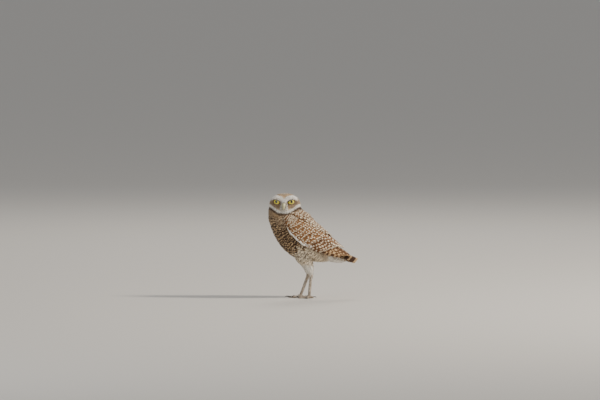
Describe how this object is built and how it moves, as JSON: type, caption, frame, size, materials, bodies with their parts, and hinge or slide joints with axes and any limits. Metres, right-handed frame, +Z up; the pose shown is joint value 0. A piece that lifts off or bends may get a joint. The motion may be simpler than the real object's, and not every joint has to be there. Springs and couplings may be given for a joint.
{
  "type": "burrowing owl",
  "caption": "Small ground owl standing upright on long legs, wings folded, head turned over its left shoulder towards the viewer.",
  "frame": {"origin": "on the floor, under the middle of the bird's bounds", "axes": "+Z up; the breast faces -X and the tail +X; -Y is the bird's left side, which the picture shows"},
  "size_m": [0.18, 0.0864, 0.206],
  "materials": {
    "brown_feather": "matte feather vanes, brown with pale spots",
    "breast_feather": "soft matte feathers, buff barred with brown",
    "pale_feather": "soft matte down, whitish",
    "eye": "clear and wet, yellow round a black pupil",
    "bill": "smooth horn",
    "leg": "scaly skin with sparse bristles",
    "claw": "dark polished horn"
  },
  "bodies": {
    "root": {"bill_lower": "bill", "bill_upper": "bill", "claw_left_hind": "claw", "claw_left_inner": "claw", "claw_left_middle": "claw", "claw_left_outer": "claw", "claw_right_hind": "claw", "claw_right_inner": "claw", "claw_right_middle": "claw", "claw_right_outer": "claw", "eye_left": "eye", "eye_right": "eye", "foot_left": "leg", "foot_right": "leg", "head": "brown_feather", "neck": "pale_feather", "tail": "brown_feather", "tarsus_left": "leg", "tarsus_right": "leg", "thigh_left": "pale_feather", "thigh_right": "pale_feather", "toe_left_hind": "leg", "toe_left_inner": "leg", "toe_left_middle": "leg", "toe_left_outer": "leg", "toe_right_hind": "leg", "toe_right_inner": "leg", "toe_right_middle": "leg", "toe_right_outer": "leg", "torso": "breast_feather", "wing_left": "brown_feather", "wing_right": "brown_feather"}
  },
  "joints": []
}
